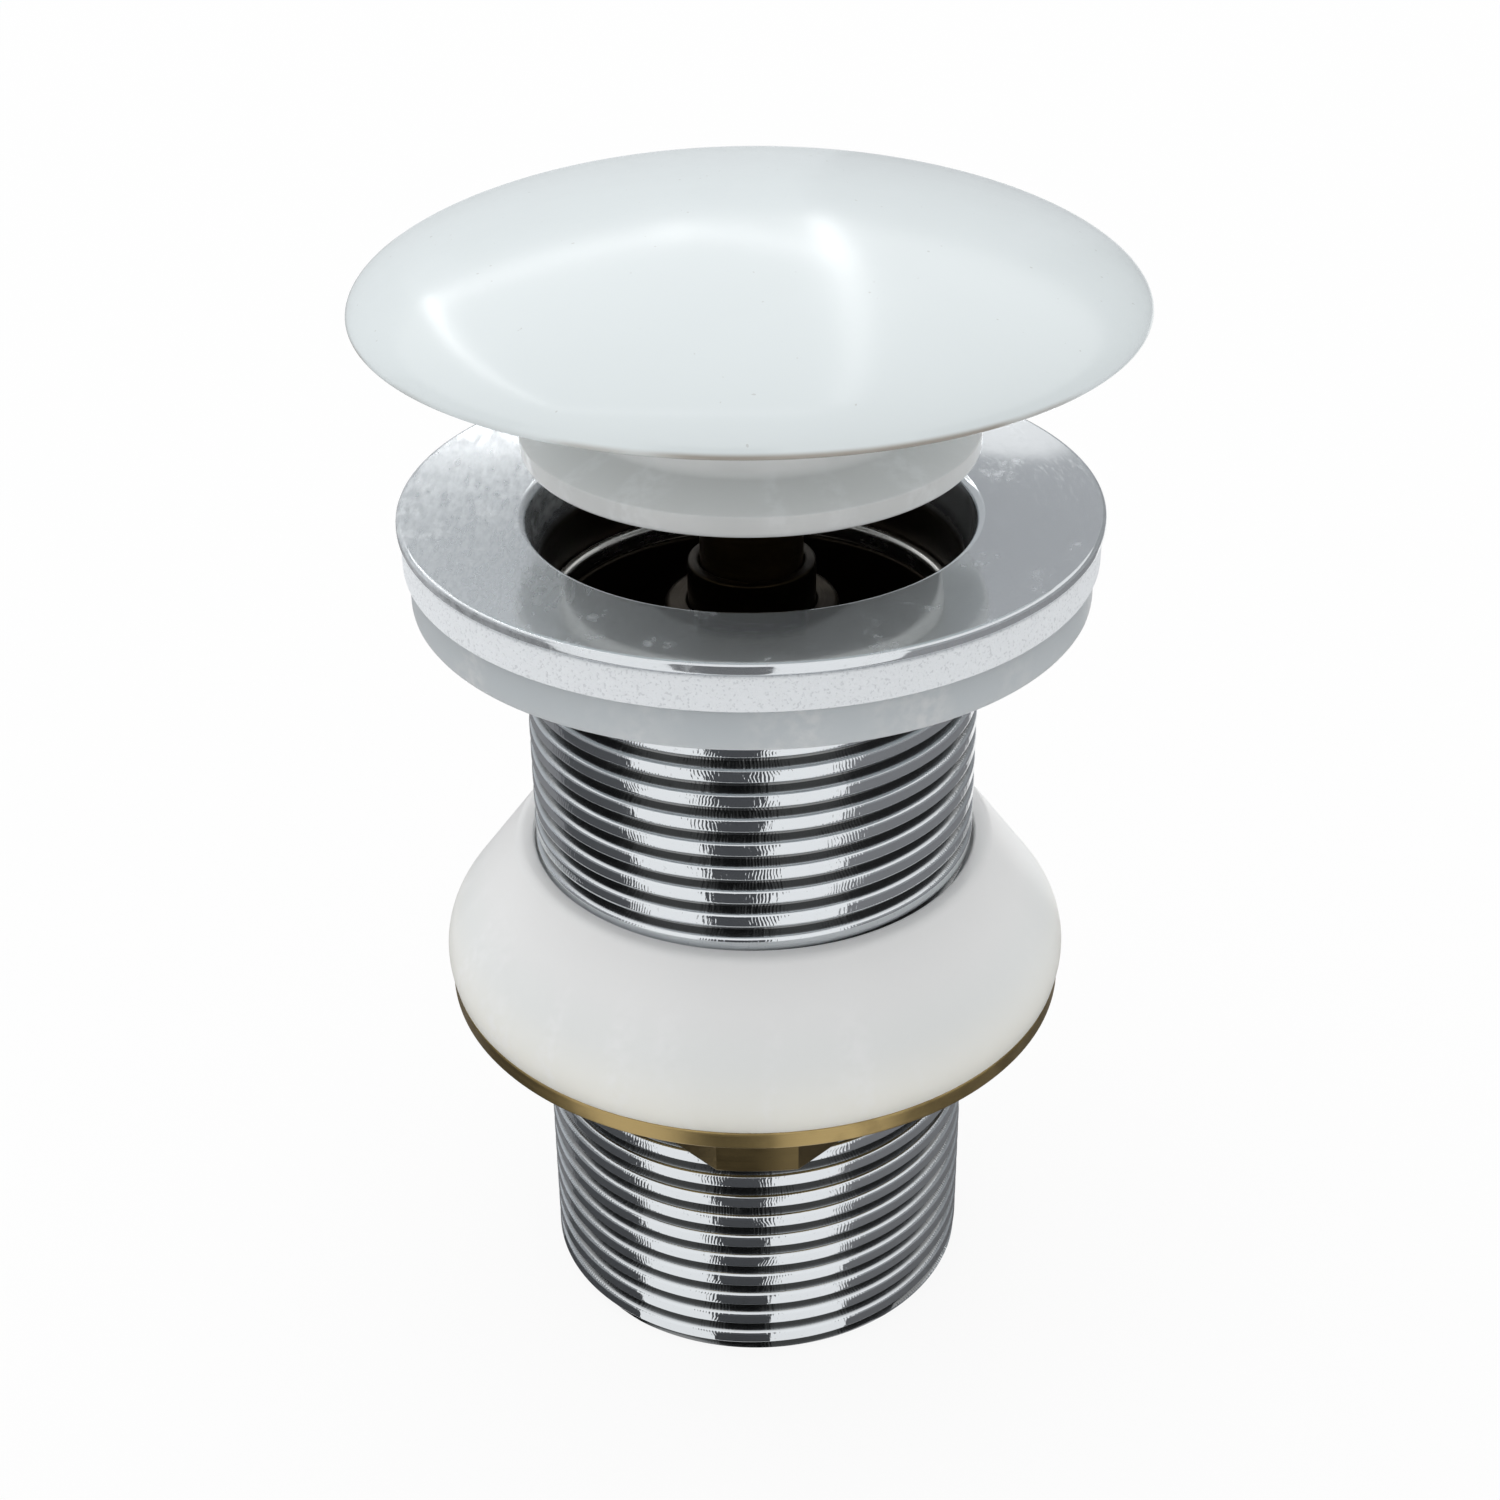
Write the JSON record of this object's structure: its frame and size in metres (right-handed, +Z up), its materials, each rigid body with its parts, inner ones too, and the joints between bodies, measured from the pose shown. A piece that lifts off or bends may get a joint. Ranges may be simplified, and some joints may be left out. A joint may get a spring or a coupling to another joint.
{
  "type": "pop up basin waste",
  "caption": "Unslotted pop up basin waste: domed ceramic push cap on a sprung click cartridge, dished chrome flange, threaded tail, washers, cone gasket and brass back nut.",
  "frame": {"origin": "centre of the tail's lower end, on which the part stands", "axes": "+Z up along the waste's axis towards the cap, -Y towards the viewer of the picture, with a corner of the back nut facing -Y"},
  "size_m": [0.0682, 0.0682, 0.1112],
  "materials": {
    "chrome": "polished chrome plate on brass",
    "brass": "turned, slightly dull",
    "steel": "drawn stainless wire and sheet",
    "foam": "fine closed-cell white foam",
    "clear_rubber": "milky, half clear",
    "clear_silicone": "smooth, half clear",
    "white_ceramic": "cool white satin glaze",
    "white_plastic": "moulded",
    "black_rubber": "moulded"
  },
  "bodies": {
    "waste": {"waste_body": "chrome", "bridge": "brass", "cartridge_barrel": "brass", "cartridge_nut": "brass", "guide_pin": "steel", "end_plug": "brass", "return_spring": "steel", "foam_washer": "foam", "flat_washer": "clear_rubber"},
    "plug": {"ceramic_cap": "white_ceramic", "cap_insert": "brass", "plug_seal": "clear_silicone", "seal_carrier": "white_plastic", "cap_stud": "brass", "stud_lock_nut": "brass", "plunger": "brass", "plunger_o_ring": "black_rubber", "thrust_washer": "steel", "retaining_clip": "steel"},
    "drum": {"click_drum": "white_plastic"},
    "gasket": {"cone_gasket": "clear_rubber"},
    "nut": {"back_nut": "brass"}
  },
  "joints": [
    {"name": "plug_press", "type": "slide", "parent": "waste", "child": "plug", "axis": [0, 0, 1], "range_m": [-0.0069, 0], "stiffness_N_per_m": 600, "springref_m": 0.012, "deforming": ["return_spring"]},
    {"name": "drum_turn", "type": "hinge", "parent": "plug", "child": "drum", "pos_m": [0, 0, 0.06], "axis": [0, 0, 1], "range_deg": [-38, 0]},
    {"name": "gasket_slide", "type": "slide", "parent": "waste", "child": "gasket", "axis": [0, 0, 1], "range_m": [-0.027, 0.024]},
    {"name": "nut_turn", "type": "hinge", "parent": "gasket", "child": "nut", "pos_m": [0, 0, 0.031], "axis": [0, 0, 1], "range_deg": [-3890, 3458]}
  ],
  "couplings": [
    {"joint": "drum_turn", "follows": "plug_press", "rad_per_m": 90.666},
    {"joint": "nut_turn", "follows": "gasket_slide", "rad_per_m": 2513.3}
  ]
}
